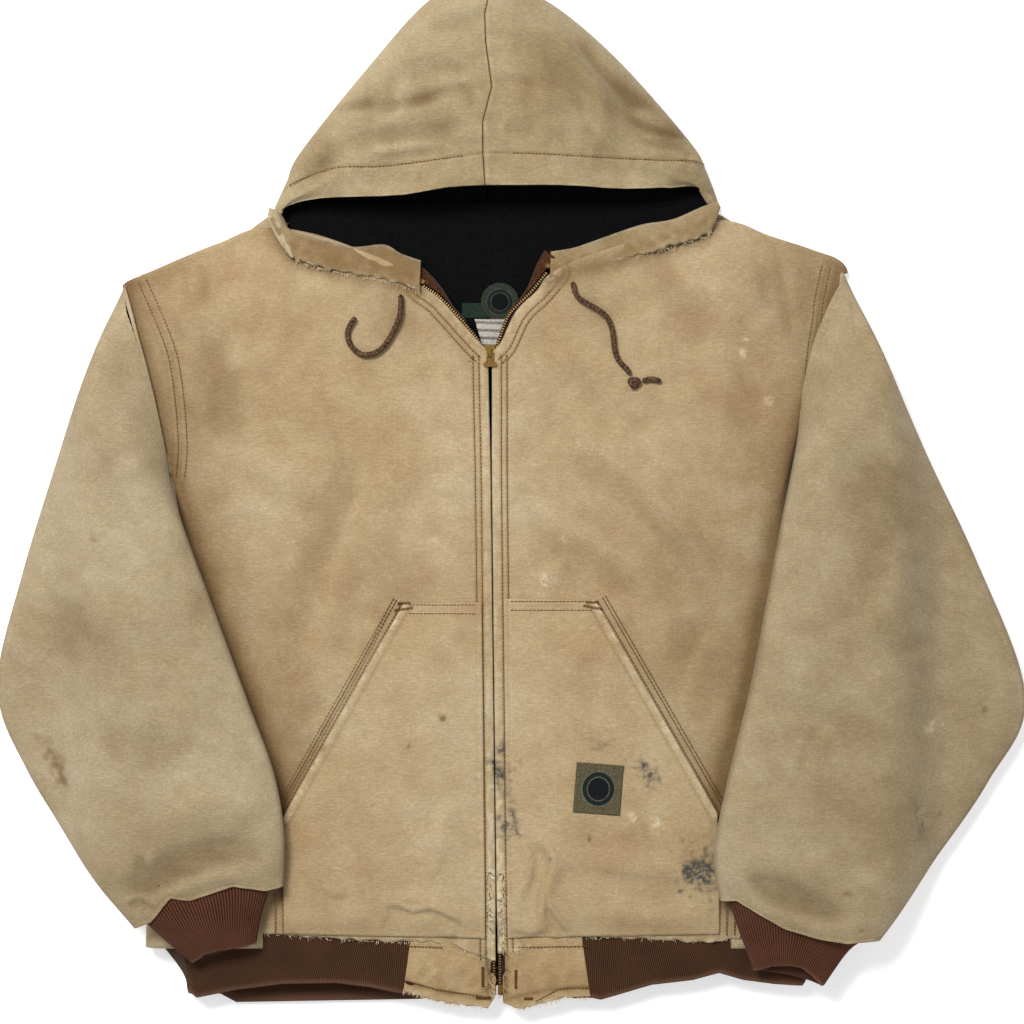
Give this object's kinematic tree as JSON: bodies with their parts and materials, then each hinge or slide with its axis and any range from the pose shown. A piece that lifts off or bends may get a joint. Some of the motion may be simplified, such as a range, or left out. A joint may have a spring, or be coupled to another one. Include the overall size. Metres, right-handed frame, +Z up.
{
  "type": "hooded work jacket",
  "caption": "Hooded zip-front work jacket in faded cotton duck, lying flat on its back with the zip closed; slanted pockets, rib-knit cuffs and waist, and a drawcord hood.",
  "frame": {"origin": "middle of the underside of the flat-lying jacket, hood included", "axes": "+X towards the wearer's left sleeve, +Y from the hem to the hood, +Z up from the table through the front"},
  "size_m": [0.886, 0.886, 0.0655],
  "materials": {
    "washed_duck": "faded cotton duck, washed and slightly scuffed",
    "sleeve_duck": "faded cotton duck of the sleeves",
    "hood_duck": "faded cotton duck of the hood",
    "facing_duck": "worn rolled edge of the hood",
    "rust_facing": "rust-brown facing cloth beside the zip",
    "rib_knit": "dark brown rib knit of the waist",
    "cuff_knit": "dark brown rib knit of the cuffs",
    "black_lining": "black quilted lining",
    "zip_tape": "woven zip tape",
    "brass": "tarnished brass",
    "braid": "brown braided cord",
    "woven_patch": "olive woven patch",
    "woven_emblem": "dark olive woven label",
    "green_tape": "dark green woven tape",
    "white_tag": "white printed-care-tag cloth, left blank"
  },
  "bodies": {
    "jacket": {"front_panel_right": "washed_duck", "front_lining_right": "black_lining", "zipper_teeth_right": "brass", "zipper_tape_right": "zip_tape", "front_facing_right": "rust_facing", "zipper_top_stop_right": "brass", "pocket_right": "washed_duck", "waist_tab_right": "washed_duck", "sleeve_upper_right": "sleeve_duck", "sleeve_lining_upper_right": "black_lining", "drawcord_right": "braid", "front_panel_left": "washed_duck", "front_lining_left": "black_lining", "zipper_teeth_left": "brass", "zipper_tape_left": "zip_tape", "front_facing_left": "rust_facing", "zipper_top_stop_left": "brass", "pocket_left": "washed_duck", "waist_tab_left": "washed_duck", "sleeve_upper_left": "sleeve_duck", "sleeve_lining_upper_left": "black_lining", "drawcord_left": "braid", "back_panel": "washed_duck", "back_lining": "black_lining", "drawcord_knot": "braid", "drawcord_tail": "braid", "waist_rib": "rib_knit", "zipper_box": "brass", "zipper_pin": "brass", "pocket_patch": "woven_patch", "neck_tape": "green_tape", "neck_label": "woven_emblem", "care_label": "white_tag"},
    "hood": {"hood_panel_right": "hood_duck", "hood_panel_left": "hood_duck", "hood_lining_right": "black_lining", "hood_lining_left": "black_lining", "hood_rim_right": "facing_duck", "hood_rim_left": "facing_duck", "drawcord_casing": "braid"},
    "sleeve_right": {"sleeve_lower_right": "sleeve_duck", "sleeve_lining_lower_right": "black_lining", "cuff_right": "cuff_knit"},
    "sleeve_left": {"sleeve_lower_left": "sleeve_duck", "sleeve_lining_lower_left": "black_lining", "cuff_left": "cuff_knit"},
    "zip_slider": {"zipper_slider": "brass"},
    "zip_pull": {"zipper_pull": "brass"}
  },
  "joints": [
    {"name": "zip_slide", "type": "slide", "parent": "jacket", "child": "zip_slider", "axis": [0.0111, -0.9999, 0], "range_m": [0, 0.525]},
    {"name": "pull_hinge", "type": "hinge", "parent": "zip_slider", "child": "zip_pull", "pos_m": [-0.0188, 0.12295, 0.0313], "axis": [-0.9999, -0.0111, 0], "range_deg": [0, 120]},
    {"name": "hood_fold", "type": "hinge", "parent": "jacket", "child": "hood", "pos_m": [-0.01535, 0.17295, 0.03], "axis": [1, 0, 0], "range_deg": [0, 90]},
    {"name": "sleeve_right_fold", "type": "hinge", "parent": "jacket", "child": "sleeve_right", "pos_m": [-0.3386, -0.08555, 0.067], "axis": [-0.9858, 0.1677, 0], "range_deg": [0, 60]},
    {"name": "sleeve_left_fold", "type": "hinge", "parent": "jacket", "child": "sleeve_left", "pos_m": [0.30885, -0.07155, 0.067], "axis": [-0.98, -0.1988, 0], "range_deg": [0, 60]}
  ]
}
